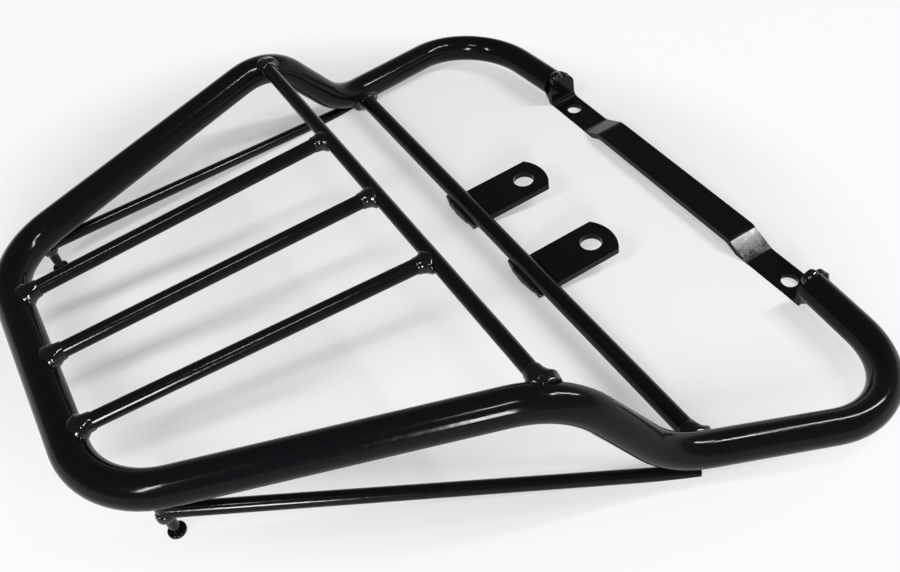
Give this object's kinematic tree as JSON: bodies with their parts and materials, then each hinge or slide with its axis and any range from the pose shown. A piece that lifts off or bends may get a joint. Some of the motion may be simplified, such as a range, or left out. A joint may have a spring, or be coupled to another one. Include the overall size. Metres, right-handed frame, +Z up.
{
  "type": "motorcycle luggage rack",
  "caption": "Rear luggage rack for a motorcycle: a bent tube frame with a raised slatted deck, a dropped front loop, under-deck stays, drilled mounting tabs and a drilled front strap.",
  "frame": {"origin": "midway between the holes of the two mounting tabs, on the underside of the tabs", "axes": "+X to the rider's right, +Y forward along the motorcycle, +Z up, with the deck level"},
  "size_m": [0.427, 0.3985, 0.1219],
  "materials": {
    "tube_paint": "gloss black paint on bent steel tube",
    "rod_paint": "gloss black paint on round steel rod",
    "plate_paint": "satin to gloss black paint on flat steel",
    "weld_paint": "gloss black paint over rough weld metal"
  },
  "bodies": {
    "root": {"cord_hook_left": "rod_paint", "cord_hook_right": "rod_paint", "deck_bar_centre": "rod_paint", "deck_bar_left": "rod_paint", "deck_bar_right": "rod_paint", "deck_crossbar": "rod_paint", "front_strap": "plate_paint", "lower_crossbar": "rod_paint", "main_tube": "tube_paint", "mount_tab_left": "plate_paint", "mount_tab_right": "plate_paint", "stay_left": "rod_paint", "stay_right": "rod_paint", "weld_bar_centre_front": "weld_paint", "weld_bar_centre_rear": "weld_paint", "weld_bar_left_front": "weld_paint", "weld_bar_left_rear": "weld_paint", "weld_bar_right_front": "weld_paint", "weld_bar_right_rear": "weld_paint", "weld_cap_left": "weld_paint", "weld_cap_right": "weld_paint", "weld_deck_crossbar_left": "weld_paint", "weld_deck_crossbar_right": "weld_paint", "weld_hook_left": "weld_paint", "weld_hook_right": "weld_paint", "weld_lower_crossbar_left": "weld_paint", "weld_lower_crossbar_right": "weld_paint", "weld_strap_left": "weld_paint", "weld_strap_right": "weld_paint", "weld_tab_left": "weld_paint", "weld_tab_right": "weld_paint"}
  },
  "joints": []
}
